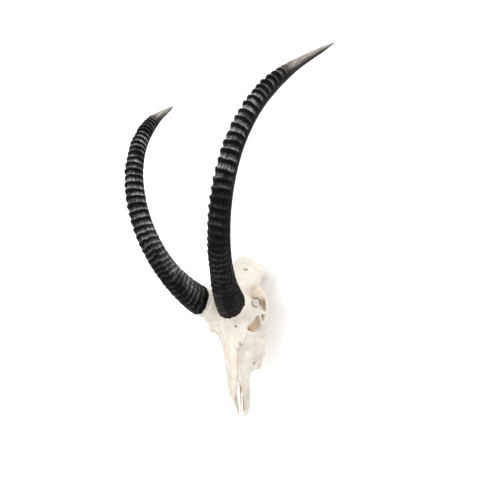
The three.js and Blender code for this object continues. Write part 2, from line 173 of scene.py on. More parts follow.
def add_mesh(name, points, faces, material, node, attributes=()):
    """A mesh object at the origin from arrays of points (mm, skull frame) and faces (n by 3 or 4)."""
    mesh = bpy.data.meshes.new(name)
    corners = faces.shape[1]
    mesh.vertices.add(len(points))
    mesh.vertices.foreach_set("co", to_row(points).astype(np.float32).ravel())
    mesh.loops.add(faces.size)
    mesh.loops.foreach_set("vertex_index", faces.astype(np.int32).ravel())
    mesh.polygons.add(len(faces))
    mesh.polygons.foreach_set("loop_start", np.arange(0, faces.size, corners, dtype=np.int32))
    mesh.polygons.foreach_set("use_smooth", np.ones(len(faces), bool))
    mesh.update(calc_edges=True)
    for key, values in attributes:
        vector = values.ndim == 2
        layer = mesh.attributes.new(key, "FLOAT_VECTOR" if vector else "FLOAT", "POINT")
        layer.data.foreach_set("vector" if vector else "value", values.astype(np.float32).ravel())
    mesh.materials.append(material)
    thing = bpy.data.objects.new(name, mesh)
    bpy.context.scene.collection.objects.link(thing)
    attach(thing, "root")
    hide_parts(node)
    return thing


def grid_faces(rows, columns):
    """Quads of a tube of rows by columns points, closed round its columns."""
    i, j = np.meshgrid(np.arange(rows - 1), np.arange(columns), indexing="ij")
    a, b = i * columns + j, i * columns + (j + 1) % columns
    return np.stack([a, b, b + columns, a + columns], -1).reshape(-1, 4)


def capped_tube(points):
    """Points and triangles of a tube (rows, columns, 3) with a fan to a middle point at each end."""
    rows, columns = points.shape[:2]
    quads = grid_faces(rows, columns)
    sides = np.concatenate([quads[:, [0, 1, 2]], quads[:, [0, 2, 3]]])
    j = np.arange(columns)
    first, last = rows * columns, rows * columns + 1
    start = np.stack([np.full(columns, first), (j + 1) % columns, j], -1)
    end = np.stack([np.full(columns, last), j + last - 1 - columns, (j + 1) % columns + last - 1
                    - columns], -1)
    faces = np.concatenate([sides, start, end])
    whole = np.concatenate([points.reshape(-1, 3), points[:1].mean(1), points[-1:].mean(1)])
    return whole, faces


def wave_noise(points, scale, seed, octaves=3):
    """Smooth noise near -1..1: sums of sines along random directions, finer and weaker each time."""
    random = np.random.default_rng(seed)
    total = np.zeros(points.shape[:-1])
    for octave in range(octaves):
        for _ in range(5):
            way = random.normal(size=3)
            way /= np.linalg.norm(way)
            pitch = scale / 2 ** octave * random.uniform(0.7, 1.4)
            total += np.sin(points @ way * (2 * np.pi / pitch) + random.uniform(0, 6.28)) / (
                5 ** 0.5 * 1.6 ** octave)
    return total


# Distance fields: negative inside, in millimetres. grid is a list of three coordinate arrays.

# The grid's pitch, its lowest corner and its points along x, y and z: half of them on each side of
# the middle plane, and room for the cranium from the premaxillae to the horns' stumps
VOXEL = 2.0
GRID_SIZE = (100, 224, 104)
GRID_LOW = np.array([(1 - GRID_SIZE[0]) * VOXEL / 2, -6, -2])


def blend(a, b, radius):
    """Smooth union: the lesser of two fields, rounded where they meet."""
    near = np.maximum(radius - np.abs(a - b), 0) / radius
    return np.minimum(a, b) - near * near * radius / 4


def carve(a, b, radius):
    """Field a with b cut out of it, the edge rounded."""
    return -blend(-a, b, radius)


def loft_field(stations, x, y, z, around=56):
    """Distance in each cross-section to the outline there; the outline's corners run smoothly
    from station to station. Beyond the end stations the distance along y is added."""
    places = np.array([station[0] for station in stations], float)
    halves = np.array([station[1:] for station in stations], float)
    field = np.full((len(x), len(y), len(z)), 99.0)
    px, pz = np.meshgrid(x, z, indexing="ij")
    p = np.stack([px.ravel(), pz.ravel()], -1)[:, None]
    for j, here in enumerate(y):
        beyond = max(places[0] - here, here - places[-1])
        if beyond > 8:
            continue
        at = np.interp(here, places, np.arange(len(places)))
        half = catmull(halves, np.array([at]))[0]
        ring = closed_curve(np.concatenate([half, half[-2:0:-1] * [-1, 1]]), around)
        a, b = ring, np.roll(ring, -1, 0)
        way = b - a
        t = np.clip(((p - a) * way).sum(-1) / np.maximum((way * way).sum(-1), 1e-9), 0, 1)
        gap = np.sqrt((((p - a) - t[..., None] * way) ** 2).sum(-1).min(1))
        above = (a[:, 1] > p[..., 1]) != (b[:, 1] > p[..., 1])
        rise = np.where(np.abs(way[:, 1]) < 1e-9, 1e-9, way[:, 1])
        crossing = a[:, 0] + (p[..., 1] - a[:, 1]) * way[:, 0] / rise > p[..., 0]
        inside = (above & crossing).sum(1) % 2 == 1
        flat = np.where(inside, -gap, gap)
        if beyond > 0:
            flat = np.hypot(np.maximum(flat, 0), beyond)
        else:
            flat = np.maximum(flat, beyond)
        field[:, j] = flat.reshape(px.shape)
    return field


def bar_field(points, grid):
    """A bar along a smooth line of [x, y, z, width, height]: each section is an ellipse.

    In each short piece the reach is the root of the squares across, up and past the end, each over
    its half size; the field is the reach less one, times the least half size.
    """
    points = np.asarray(points, float)
    fine = catmull(points, np.linspace(0, len(points) - 1, 5 * (len(points) - 1) + 1))
    p = np.stack(np.broadcast_arrays(*grid), -1)
    best = np.full(p.shape[:-1], 99.0)
    for a, b in zip(fine[:-1], fine[1:]):
        way = b[:3] - a[:3]
        length = np.linalg.norm(way)
        way /= length
        level = np.cross([0, 1, 0] if abs(way[2]) > 0.85 else [0, 0, 1], way)
        level /= np.linalg.norm(level)
        up = np.cross(way, level)
        rel = p - a[:3]
        t = np.clip(rel @ way / length, 0, 1)
        rel = rel - t[..., None] * way * length
        size = 0.5 * (a[3:] + t[..., None] * (b[3:] - a[3:]))
        across, high, rest = rel @ level, rel @ up, rel @ way
        reach = np.sqrt((across / size[..., 0]) ** 2 + (high / size[..., 1]) ** 2
                        + (rest / size.min(-1)) ** 2)
        best = np.minimum(best, (reach - 1) * size.min(-1))
    return best


def ball_field(centre, half_sizes, grid, turn_z=0):
    """An ellipsoid turned about Z: the scaled distance less one, times the least half size."""
    x, y, z = (g - c for g, c in zip(grid, centre))
    c, s = np.cos(np.radians(turn_z)), np.sin(np.radians(turn_z))
    x, y = x * c + y * s, y * c - x * s
    sizes = half_sizes
    return (np.sqrt((x / sizes[0]) ** 2 + (y / sizes[1]) ** 2 + (z / sizes[2]) ** 2) - 1) * min(sizes)


def rod_field(start, end, radius, grid):
    """Distance to a straight rod with round ends."""
    start, end = np.array(start, float), np.array(end, float)
    p = np.stack(np.broadcast_arrays(*grid), -1) - start
    way = end - start
    t = np.clip(p @ way / (way @ way), 0, 1)
    return np.linalg.norm(p - t[..., None] * way, axis=-1) - radius


# Cranium: the same stations, bars and balls as the solids, rounded together in a field

FACE = [
    (94, (0, 82), (13, 79), (19, 70), (24, 50), (25, 34), (14, 28), (0, 29)),
    (112, (0, 88), (15, 85), (21, 75), (29, 52), (29, 33), (17, 27), (0, 29)),
    (128, (0, 93), (17, 89), (24, 78), (39, 54), (40, 20), (26, 17), (0, 29)),
    (150, (0, 99), (19, 95), (29, 80), (50, 54), (50, 16), (30, 15), (0, 31)),
    (175, (0, 106), (21, 101), (36, 84), (58, 56), (56, 16), (32, 14), (0, 32)),
    (200, (0, 114), (27, 109), (46, 96), (66, 66), (60, 18), (34, 14), (0, 34)),
    (222, (0, 123), (36, 120), (56, 108), (72, 78), (56, 30), (34, 24), (0, 38)),
    (246, (0, 133), (40, 128), (44, 104), (40, 74), (30, 52), (20, 44), (0, 46)),
]
BROW = [
    (205, (0, 112), (20, 111), (40, 100), (44, 88), (34, 72), (0, 60)),
    (226, (0, 125), (28, 125), (56, 115), (52, 100), (38, 74), (0, 58)),
    (242, (0, 138), (36, 141), (80, 129), (70, 113), (38, 76), (0, 54)),
    (256, (0, 150), (44, 155), (87, 128), (76, 112), (38, 76), (0, 52)),
    (270, (0, 159), (50, 162), (85, 123), (72, 106), (38, 74), (0, 49)),
    (284, (0, 165), (52, 165), (68, 122), (46, 102), (35, 72), (0, 48)),
    (300, (0, 166), (46, 162), (47, 128), (34, 98), (32, 66), (0, 48)),
    (322, (0, 158), (36, 150), (42, 122), (37, 94), (34, 62), (0, 48)),
]
BRAINCASE = [
    (298, (0, 160), (28, 156), (37, 126), (32, 94), (30, 60), (0, 48)),
    (325, (0, 154), (30, 147), (41, 119), (39, 90), (35, 54), (0, 44)),
    (350, (0, 132), (28, 126), (46, 106), (52, 82), (42, 50), (0, 42)),
    (375, (0, 107), (28, 103), (48, 88), (58, 70), (46, 46), (0, 42)),
    (394, (0, 98), (28, 92), (50, 76), (60, 62), (50, 46), (0, 44)),
    (408, (0, 93), (22, 88), (38, 75), (46, 60), (36, 46), (0, 46)),
    (418, (0, 88), (12, 86), (24, 77), (28, 62), (20, 52), (0, 50)),
]
NASAL_PLATE = [
    (43, (0, 67.5), (3, 67), (4.5, 66), (3, 65), (0, 65)),
    (56, (0, 72), (8, 70.5), (12, 67), (8, 65.5), (0, 68)),
    (78, (0, 79), (12, 76.5), (17, 69), (11, 70), (0, 73.5)),
    (106, (0, 86), (14, 83.5), (19, 74), (13, 75), (0, 80)),
]
NASAL_PASSAGE = [
    (84, (0, 74), (12, 70), (17, 54), (14, 38), (0, 33)),
    (120, (0, 78), (13, 74), (20, 56), (15, 40), (0, 35)),
    (150, (0, 82), (12, 77), (19, 62), (12, 46), (0, 42)),
    (182, (0, 80), (7, 77), (10, 68), (7, 60), (0, 57)),
]
# y, lower outer edge, upper inner edge, thickness
PREMAXILLA = np.array([
    (118, 29, 36, 20, 80, 5), (100, 27.5, 32, 20, 74, 5), (84, 25.5, 28, 20.5, 66, 6),
    (67, 24, 20, 21, 54, 7), (48, 22.5, 12, 19.5, 41, 8), (26, 19.5, 6.5, 16, 28, 9),
    (10, 15, 7, 12, 20, 9), (1, 11.5, 10, 9, 16, 6)])[::-1]
PALATAL_PROCESS = [(4, 10, 13, 5, 6), (3.8, 34, 17, 5, 7), (3.6, 60, 23, 5, 7), (5, 100, 32, 9, 9)]
ARCH = [(62, 212, 80, 14, 26), (74, 232, 70, 13, 20), (82, 255, 65, 8, 16), (83, 282, 64, 8, 15),
        (79, 302, 66, 11, 13), (69, 318, 70, 26, 12), (48, 332, 74, 34, 14)]
POSTORBITAL_BAR = [(60, 276, 124, 32, 18), (72, 274, 110, 29, 12), (80, 272, 94, 22, 9),
                   (84, 270, 70, 18, 8)]
FOSSA_LEDGE = [(78, 282, 62, 10, 9), (70, 293, 64, 14, 8), (61, 304, 66, 18, 9), (50, 316, 68, 20, 12)]
NUCHAL_CREST = [(70, 384, 62, 10, 14), (64, 390, 64, 10, 14), (53, 401, 65, 9, 12),
                (40, 410, 70, 9, 12), (24, 418, 78, 13, 12), (12, 423, 83, 17, 12),
                (0, 424, 84, 19, 12)]
JUGULAR = [(40, 378, 62, 22, 16), (41, 383, 42, 15, 10), (39, 386, 24, 11, 9), (37, 387, 4, 8, 8)]
PTERYGOID = [(22, 228, 36, 9, 30), (21, 250, 40, 6, 34), (21, 270, 44, 5, 34),
             (23, 296, 48, 7, 22), (26, 316, 50, 10, 12)]
ORBIT_LOOP = np.array([(56, 231, 117), (54, 222, 112), (60, 215, 104), (67, 216, 92), (74, 227, 79),
                       (77, 240, 77), (80, 254, 83), (81, 264, 93), (77, 264, 108), (69, 252, 119),
                       (62, 241, 120)], float)
ORBIT_INWARDS = np.array([-0.88, 0.36, -0.3])
RIGHT_ORBIT_OUT = (9, 0, 6)  # the right orbit stands further out than the left one
# Rods that are cut out: two ends and a radius
TEMPLE_HOLE = (84, 291, 124), (42, 304, 58), 9
FORAMEN_MAGNUM = (0, 436, 64), (0, 396, 64), 11.5
INFRAORBITAL = (58, 128, 45), (34, 152, 43), 3.4
SUPRAORBITAL = (30, 224, 150), (28, 232, 108), 2.6
NASAL_FORAMEN = (33, 178, 112), (30, 186, 92), 1.5
ROOF_HOLES = ((15, 388, 120), (16, 390, 90), 3.4), ((22, 387, 120), (23, 389, 88), 3.2)
# Corners of the parts of the grid in which the orbit and the horn's stump are worked out
ORBIT_BOX = (10, 190, 40), (99, 310, 160)
PEDICLE_BOX = (-2, 215, 110), (99, 345, 206)


def windowed(field, axes, low, high, make, join):
    """Works out make() only on the grid between two corners and joins it into the field there."""
    cut = tuple(slice(*np.searchsorted(axis, [a, b])) for axis, a, b in zip(axes, low, high))
    grid = np.meshgrid(*(axis[c] for axis, c in zip(axes, cut)), indexing="ij", sparse=True)
    field[cut] = join(field[cut], make(grid))


def orbit_polar(grid):
    """Distance from the orbit's axis over the rim's radius, that radius, and depth below the rim."""
    axis = ORBIT_INWARDS / np.linalg.norm(ORBIT_INWARDS)
    middle = ORBIT_LOOP.mean(0)
    first = np.cross(axis, [0, 0, 1])
    first /= np.linalg.norm(first)
    second = np.cross(axis, first)
    rel = ORBIT_LOOP - middle
    turn = np.arctan2(rel @ second, rel @ first)
    order = np.argsort(turn)
    radius, depth = np.hypot(rel @ first, rel @ second)[order], (rel @ axis)[order]
    ring = closed_curve(np.stack([radius, depth], -1), 90)
    turns = closed_curve(np.stack([np.cos(turn[order]), np.sin(turn[order])], -1), 90)
    ring_turn = np.arctan2(turns[:, 1], turns[:, 0])
    sort = np.argsort(ring_turn)
    p = np.stack(np.broadcast_arrays(*grid), -1) - middle
    here = np.arctan2(p @ second, p @ first)
    rim = np.interp(here, ring_turn[sort], ring[sort, 0], period=2 * np.pi)
    level = np.interp(here, ring_turn[sort], ring[sort, 1], period=2 * np.pi)
    return np.hypot(p @ first, p @ second), rim, p @ axis - level


def orbit_cup(grid):
    """A tapering plug behind the rim with a rolled edge round it."""
    out, rim, depth = orbit_polar(grid)
    share = np.interp(depth, [0, 6, 20, 42], [1, 1.06, 0.95, 0.8])
    plug = np.maximum.reduce([(out - rim * share) * 0.9, -depth, depth - 42])
    rolled = np.hypot(out - 0.93 * rim, depth - 1) - 3.4
    return blend(plug, rolled, 3)


def orbit_hollow(grid):
    """A bowl inside the rim that narrows to its bottom."""
    out, rim, depth = orbit_polar(grid)
    share = np.interp(depth, [-12, 2, 14, 22, 27, 30], [0.87, 0.84, 0.78, 0.6, 0.35, 0.0])
    return np.maximum((out - rim * share) * 0.8, -12 - depth)


def premaxilla_field(grid):
    """A leaning plate: distance across its middle surface and along the lean, per y station."""
    x, y, z = grid
    low_x, low_z, high_x, high_z, thick = (
        np.interp(y, PREMAXILLA[:, 0], PREMAXILLA[:, k]) for k in range(1, 6))
    lean = np.stack(np.broadcast_arrays(high_x - low_x, high_z - low_z), -1)
    reach = np.linalg.norm(lean, axis=-1)
    lean = lean / reach[..., None]
    rel_x, rel_z = x - 0.5 * (low_x + high_x), z - 0.5 * (low_z + high_z)
    up = rel_x * lean[..., 0] + rel_z * lean[..., 1]
    across = rel_x * lean[..., 1] - rel_z * lean[..., 0]
    beyond = np.maximum(np.maximum(PREMAXILLA[0, 0] - y, y - 122), 0)
    return np.sqrt(np.maximum(np.abs(up) - 0.5 * reach + 0.45 * thick, 0) ** 2 + across ** 2
                   + beyond ** 2) - 0.45 * thick


def pedicle_field(grid, start):
    """A tapering stump under the rim of the horn, cut off square to the leaning rim."""
    turn = np.linspace(0, 2 * np.pi, 24, endpoint=False)
    rim = horn_points(np.full((1, 24), start), turn[None], np.zeros((1, 24)))[0]
    middle = rim.mean(0)
    across = rim - middle
    normal = np.cross(across[0], across[6])
    normal /= np.linalg.norm(normal)
    normal *= np.sign(normal[2])
    x, y, z = grid
    p = np.stack(np.broadcast_arrays(*grid), -1) - middle
    height = p @ normal
    p = p - height[..., None] * np.array([0.18, 0, 1]) / normal[2]
    first = across[0] / np.linalg.norm(across[0])
    second = np.cross(normal, first)
    sizes = np.abs(across @ first).max(), np.abs(across @ second).max()
    share = np.interp(-height, [0, 10, 56], [0.94, 0.93, 0.98])
    reach = np.hypot(p @ first / sizes[0], p @ second / sizes[1])
    return np.maximum.reduce([(reach - share) * sizes[1], height + 0.4, -56 - height])


def skull_field():
    """The field of the whole cranium: the left half, mirrored, then what only one side has.

    Lofts, bars and balls are united with rounded seams and the hollows are cut out. The right side
    then gets its higher pedicle and its orbit further out, and the roof its two holes left of the
    middle. The level plane under the resting skull cuts off what is lower.
    """
    full = [low + VOXEL * np.arange(n) for low, n in zip(GRID_LOW, GRID_SIZE)]
    axes = [full[0][GRID_SIZE[0] // 2:], full[1], full[2]]
    field = loft_field(FACE, *axes)
    field = blend(field, loft_field(BROW, *axes), 9)
    field = blend(field, loft_field(BRAINCASE, *axes), 8)

    def unite(radius):
        """A union rounded by the radius."""
        return lambda a, b: blend(a, b, radius)

    def cut(radius):
        """A cut with its edge rounded by the radius."""
        return lambda a, b: carve(a, b, radius)

    def add(make, low, high, join):
        """Joins something into the left half of the field, between two corners."""
        windowed(field, axes, low, high, make, join)

    add(lambda g: bar_field(NUCHAL_CREST, g), (-5, 365, 30), (92, 440, 100), unite(7))
    add(orbit_cup, *ORBIT_BOX, unite(6))
    add(lambda g: bar_field(ARCH, g), (20, 190, 30), (99, 360, 120), unite(6))
    add(lambda g: bar_field(POSTORBITAL_BAR, g), (40, 240, 50), (99, 310, 150), unite(5))
    add(lambda g: bar_field(FOSSA_LEDGE, g), (30, 260, 40), (99, 340, 90), unite(5))
    add(lambda g: ball_field((21, 407, 57), (12, 17, 15), g), (-5, 370, 20), (60, 440, 100), unite(5))
    add(lambda g: ball_field((27, 352, 40), (12, 20, 14), g, 20), (-5, 310, 5), (70, 400, 80), unite(5))
    add(lambda g: ball_field((75, 250, 66), (9, 26, 7), g), (50, 210, 45), (95, 290, 85), unite(5))
    add(lambda g: ball_field((60, 383, 60), (9, 12, 17), g), (30, 350, 20), (99, 420, 100), unite(6))
    add(lambda g: bar_field(JUGULAR, g), (10, 350, -2), (80, 420, 90), unite(6))
    add(lambda g: bar_field(PTERYGOID, g), (0, 200, 0), (60, 340, 90), unite(5))
    add(lambda g: pedicle_field(g, RIM_START[1]), *PEDICLE_BOX, unite(7))
    field = carve(field, loft_field(NASAL_PASSAGE, *axes), 3)
    add(orbit_hollow, *ORBIT_BOX, cut(3))
    add(lambda g: rod_field(*TEMPLE_HOLE, g), (30, 270, 45), (99, 320, 140), cut(2))
    add(lambda g: rod_field(*FORAMEN_MAGNUM, g), (-2, 380, 40), (30, 440, 90), cut(3))
    add(lambda g: rod_field(*INFRAORBITAL, g), (20, 110, 25), (80, 170, 65), cut(2))
    add(lambda g: rod_field(*SUPRAORBITAL, g), (15, 210, 95), (45, 245, 160), cut(1.5))
    add(lambda g: rod_field(*NASAL_FORAMEN, g), (20, 160, 80), (45, 200, 120), cut(1.5))
    add(lambda g: bar_field(PALATAL_PROCESS, g), (-2, -2, 0), (20, 120, 50), unite(2))
    field = np.minimum(field, loft_field(NASAL_PLATE, *axes))
    add(premaxilla_field, (-2, -4, -2), (50, 130, 95), unite(2.5))
    field = np.concatenate([field[::-1], field])
    mirrored = [-full[0][::-1], full[1], full[2]]
    turned = field[::-1].copy()
    windowed(turned, mirrored, *PEDICLE_BOX, lambda g: pedicle_field(g, RIM_START[-1]), unite(7))
    windowed(turned, mirrored, (30, 190, 60), (99, 260, 140),
             lambda g: ball_field((58, 224, 108), (11, 13, 17), g), unite(9))
    for make, join in ((orbit_cup, unite(6)), (orbit_hollow, cut(3))):
        windowed(turned, mirrored, *ORBIT_BOX, lambda g: make(
            [axis - out for axis, out in zip(g, RIGHT_ORBIT_OUT)]), join)
    field = turned[::-1]
    windowed(field, full, (0, 370, 70), (40, 410, 125),
             lambda g: np.minimum(*(rod_field(*rod, g) for rod in ROOF_HOLES)), cut(2))
    under = -(full[1][:, None] * np.sin(REST_PITCH) + full[2] * np.cos(REST_PITCH) + PLACE[2])
    return np.maximum(field, under[None])


def net_surface(field):
    """Points and quads where the field is zero.

    One point for each cell that the surface passes, the mean of the crossings on its edges, and
    one quad for each grid edge that it crosses, between the points of the four cells around it.
    """
    inside = field < 0
    size = np.array(field.shape)
    total = np.zeros(tuple(size - 1) + (3,), np.float32)
    count = np.zeros(tuple(size - 1), np.float32)
    crossings = []
    for axis in range(3):
        near = [slice(None)] * 3
        far = [slice(None)] * 3
        near[axis], far[axis] = slice(0, -1), slice(1, None)
        a, b = field[tuple(near)], field[tuple(far)]
        crossed = inside[tuple(near)] != inside[tuple(far)]
        where = np.stack(np.nonzero(crossed), -1)
        t = a[crossed] / (a[crossed] - b[crossed])
        point = where.astype(np.float32)
        point[:, axis] += t
        u, v = [k for k in range(3) if k != axis]
        for du in (0, 1):
            for dv in (0, 1):
                cell = where.copy()
                cell[:, u] -= du
                cell[:, v] -= dv
                ok = (cell >= 0).all(1) & (cell < size - 1).all(1)
                np.add.at(total, tuple(cell[ok].T), point[ok])
                np.add.at(count, tuple(cell[ok].T), 1)
        crossings.append((axis, where, inside[tuple(near)][crossed]))
    used = count > 0
    number = np.full(count.shape, -1)
    number[used] = np.arange(used.sum())
    points = total[used] / count[used][:, None]
    quads = []
    for axis, where, starts_inside in crossings:
        u, v = (axis + 1) % 3, (axis + 2) % 3
        ok = (where[:, u] > 0) & (where[:, v] > 0) & (where[:, u] < size[u] - 1) & (
            where[:, v] < size[v] - 1)
        where, starts_inside = where[ok], starts_inside[ok]
        corners = []
        for du, dv in ((1, 1), (0, 1), (0, 0), (1, 0)):
            cell = where.copy()
            cell[:, u] -= du
            cell[:, v] -= dv
            corners.append(number[tuple(cell.T)])
        quad = np.stack(corners, -1)
        quads.append(np.where(starts_inside[:, None], quad, quad[:, ::-1]))
    points = points * VOXEL + GRID_LOW
    return points, np.concatenate(quads)


def relaxed(points, quads, rounds, share=0.5):
    """Points moved a share of the way to the mean of their neighbours, a few rounds."""
    edges = np.concatenate([quads[:, [k, (k + 1) % 4]] for k in range(4)])
    a, b = np.concatenate([edges, edges[:, ::-1]]).T
    near = np.maximum(np.bincount(a, minlength=len(points)), 1)[:, None]
    for _ in range(rounds):
        mean = np.stack([np.bincount(a, points[b, k], len(points)) for k in range(3)], -1) / near
        points = points + share * (mean - points)
    return points


def normals_of(points, quads):
    """Unit normals at the points: the sum of the cross products of the diagonals around each."""
    across = np.cross(points[quads[:, 2]] - points[quads[:, 0]],
                      points[quads[:, 3]] - points[quads[:, 1]])
    total = np.stack([sum(np.bincount(quads[:, k], across[:, c], len(points)) for k in range(4))
                      for c in range(3)], -1)
    return total / np.maximum(np.linalg.norm(total, axis=1, keepdims=True), 1e-9)


# Materials

def feed(tree, socket, value):
    """Links another node's output to an input, or else sets the input's value."""
    if isinstance(value, bpy.types.NodeSocket):
        tree.links.new(value, socket)
    else:
        socket.default_value = value


def node(tree, kind, inputs=None, **settings):
    """A node with its settings, each input given a value or linked to another node's output."""
    made = tree.nodes.new(kind)
    for key, value in settings.items():
        setattr(made, key, value)
    for key, value in (inputs or {}).items():
        feed(tree, made.inputs[key], value)
    return made


FLOAT, VECTOR = "NodeSocketFloat", "NodeSocketVector"


def group(name, sockets, out_name):
    """An empty node group with float or vector inputs and one float output."""
    tree = bpy.data.node_groups.new(name, "ShaderNodeTree")
    for key, (kind, value) in sockets.items():
        socket = tree.interface.new_socket(key, in_out="INPUT", socket_type=kind)
        if value is not None:
            socket.default_value = value
    tree.interface.new_socket(out_name, in_out="OUTPUT", socket_type=FLOAT)
    return tree, tree.nodes.new("NodeGroupInput").outputs, tree.nodes.new("NodeGroupOutput").inputs


def mottling_group():
    """Patches: noise of the given scale, stretched between low and high to a mask."""
    tree, given, out = group("Mottling", {
        "Vector": (VECTOR, None), "Scale": (FLOAT, 30), "Low": (FLOAT, 0.4), "High": (FLOAT, 0.6)},
        "Mask")
    noise = node(tree, "ShaderNodeTexNoise", {"Vector": given["Vector"], "Scale": given["Scale"],
                                              "Detail": 5, "Roughness": 0.6})
    ramp = node(tree, "ShaderNodeMapRange", {"Value": noise.outputs["Fac"], "From Min": given["Low"],
                                             "From Max": given["High"]}, interpolation_type="SMOOTHSTEP")
    tree.links.new(ramp.outputs["Result"], out["Mask"])
    return tree


def grain_group():
    """Fine relief: two sizes of noise and round pores, as a height near 0..1."""
    tree, given, out = group("Grain", {
        "Vector": (VECTOR, None), "Scale": (FLOAT, 400), "Pores": (FLOAT, 0.5)}, "Height")
    fine = node(tree, "ShaderNodeTexNoise", {"Vector": given["Vector"], "Scale": given["Scale"],
                                             "Detail": 4, "Roughness": 0.65})
    cells = node(tree, "ShaderNodeTexVoronoi", {"Vector": given["Vector"], "Scale": given["Scale"]})
    pores = node(tree, "ShaderNodeMapRange", {"Value": cells.outputs["Distance"], "From Max": 0.35})
    depth = node(tree, "ShaderNodeMath", {0: pores.outputs["Result"], 1: given["Pores"]},
                 operation="MULTIPLY")
    height = node(tree, "ShaderNodeMath", {0: depth.outputs[0], 1: fine.outputs["Fac"]},
                  operation="ADD")
    tree.links.new(height.outputs[0], out["Height"])
    return tree


FAR = 9.0  # mm: what a suture's attribute holds where the suture doesn't run


def seam_group():
    """A thin wavy line where the signed distance in an attribute is near 0."""
    tree, given, out = group("Suture line", {
        "Distance": (FLOAT, FAR), "Vector": (VECTOR, None), "Width": (FLOAT, 0.7)}, "Mask")
    wiggle = node(tree, "ShaderNodeTexNoise", {"Vector": given["Vector"], "Scale": 260, "Detail": 3})
    offset = node(tree, "ShaderNodeMapRange", {"Value": wiggle.outputs["Fac"], "To Min": -2.4,
                                               "To Max": 2.4})
    moved = node(tree, "ShaderNodeMath", {0: given["Distance"], 1: offset.outputs["Result"]},
                 operation="ADD")
    size = node(tree, "ShaderNodeMath", {0: moved.outputs[0]}, operation="ABSOLUTE")
    mask = node(tree, "ShaderNodeMapRange", {"Value": size.outputs[0], "From Min": given["Width"],
                                             "From Max": 0.1, "To Min": 0, "To Max": 1})
    tree.links.new(mask.outputs["Result"], out["Mask"])
    return tree


MOTTLING, GRAIN, SEAM = mottling_group(), grain_group(), seam_group()


def placed(tree, which, **inputs):
    """One of the groups, placed in a material with its own values."""
    made = tree.nodes.new("ShaderNodeGroup")
    made.node_tree = which
    for key, value in inputs.items():
        feed(tree, made.inputs[key], value)
    return made.outputs[0]


MIX_SHARE, MIX_FIRST, MIX_SECOND, MIX_RESULT = 0, 6, 7, 2  # the colour sockets of a Mix node


def mixed(tree, share, first, second):
    """Colour mix of two colours or sockets by a share."""
    made = node(tree, "ShaderNodeMix", {MIX_SHARE: share}, data_type="RGBA")
    for key, colour in ((MIX_FIRST, first), (MIX_SECOND, second)):
        linked = isinstance(colour, bpy.types.NodeSocket)
        feed(tree, made.inputs[key], colour if linked else (*colour, 1))
    return made.outputs[MIX_RESULT]


def sum_of(tree, first, second, operation="ADD", clamp=False):
    """The sum of two values or sockets, or another operation on them."""
    return node(tree, "ShaderNodeMath", {0: first, 1: second}, operation=operation,
                use_clamp=clamp).outputs[0]


def spread(tree, value, low, high, to_low=0.0, to_high=1.0):
    """A value stretched from one range to another, held at the ends."""
    return node(tree, "ShaderNodeMapRange", {"Value": value, "From Min": low, "From Max": high,
                                             "To Min": to_low, "To Max": to_high}).outputs["Result"]


def attribute(tree, name, output="Fac"):
    """What a point attribute of the mesh holds."""
    return node(tree, "ShaderNodeAttribute", attribute_name=name).outputs[output]


def material(name):
    """A material with its Principled shader and the Object coordinates."""
    made = bpy.data.materials.new(name)
    made.use_nodes = True
    tree = made.node_tree
    return made, tree, tree.nodes["Principled BSDF"], tree.nodes.new(
        "ShaderNodeTexCoord").outputs["Object"]


def bump(tree, shader, height, distance, strength):
    """Turns a height into the shader's normal."""
    made = node(tree, "ShaderNodeBump", {"Height": height, "Distance": distance,
                                         "Strength": strength})
    tree.links.new(made.outputs["Normal"], shader.inputs["Normal"])


SUTURES = "seam_mid", "seam_nape", "seam_frontal", "seam_cheek", "seam_premax"
# Cream and greyer bone; tan of stains and painted shade; brown of painted shade in openings and deep
# hollows, and of the sutures
BONE_PALE, BONE_GREY = (0.69, 0.655, 0.58), (0.47, 0.43, 0.385)
BONE_TAN, BONE_BROWN = (0.63, 0.445, 0.265), (0.12, 0.05, 0.025)


def bone_material():
    """Dry bone: cream with greyer patches, tan stain and painted shade in hollows, brown painted shade
    in the deepest and brown at sutures.
    """
    made, tree, shader, where = material("Cleaned bone")
    broad = placed(tree, MOTTLING, Vector=where, Scale=22, Low=0.38, High=0.68)
    small = placed(tree, MOTTLING, Vector=where, Scale=110, Low=0.42, High=0.66)
    faded = sum_of(tree, attribute(tree, "face"), spread(tree, broad, 0, 1, 0.25, 0.85), "MULTIPLY")
    colour = mixed(tree, faded, BONE_PALE, BONE_GREY)
    # Tan: painted shade in hollows, orbits, nose, temples and on what faces down, with some stains
    tan_mask = attribute(tree, "tan_mask")
    patchy = spread(tree, small, 0, 1, 0.65, 1.0)
    tan = sum_of(tree, tan_mask, patchy, "MULTIPLY", clamp=True)
    colour = mixed(tree, tan, colour, BONE_TAN)
    # Brown: painted shade in openings and deep hollows, with some stain in the muzzle's slots and behind
    # the arch
    deep = attribute(tree, "deep")
    colour = mixed(tree, sum_of(tree, deep, spread(tree, small, 0, 1, 0.8, 1), "MULTIPLY", True),
                   colour, BONE_BROWN)
    lines = None
    for name in SUTURES:
        line = placed(tree, SEAM, Distance=attribute(tree, name), Vector=where, Width=0.75)
        lines = line if lines is None else sum_of(tree, lines, line, "MAXIMUM")
    colour = mixed(tree, sum_of(tree, lines, 0.5, "MULTIPLY"), colour, BONE_BROWN)
    tree.links.new(colour, shader.inputs["Base Color"])
    tree.links.new(spread(tree, small, 0, 1, 0.48, 0.64), shader.inputs["Roughness"])
    grain = placed(tree, GRAIN, Vector=where, Scale=330, Pores=0.5)
    height = sum_of(tree, grain, sum_of(tree, lines, -1.6, "MULTIPLY"))
    bump(tree, shader, height, 0.0004, 0.6)
    shader.inputs["Specular IOR Level"].default_value = 0.35
    return made


# Black keratin, and grey for the painted highlights on the ring crests and the frayed inner side
HORN_BLACK, HORN_GLINT_GREY = (0.0028, 0.0026, 0.0025), (0.60, 0.59, 0.57)
# Paler tip, partly painted highlight; brown at the rim
HORN_TIP, HORN_BROWN = (0.58, 0.53, 0.475), (0.03, 0.016, 0.009)


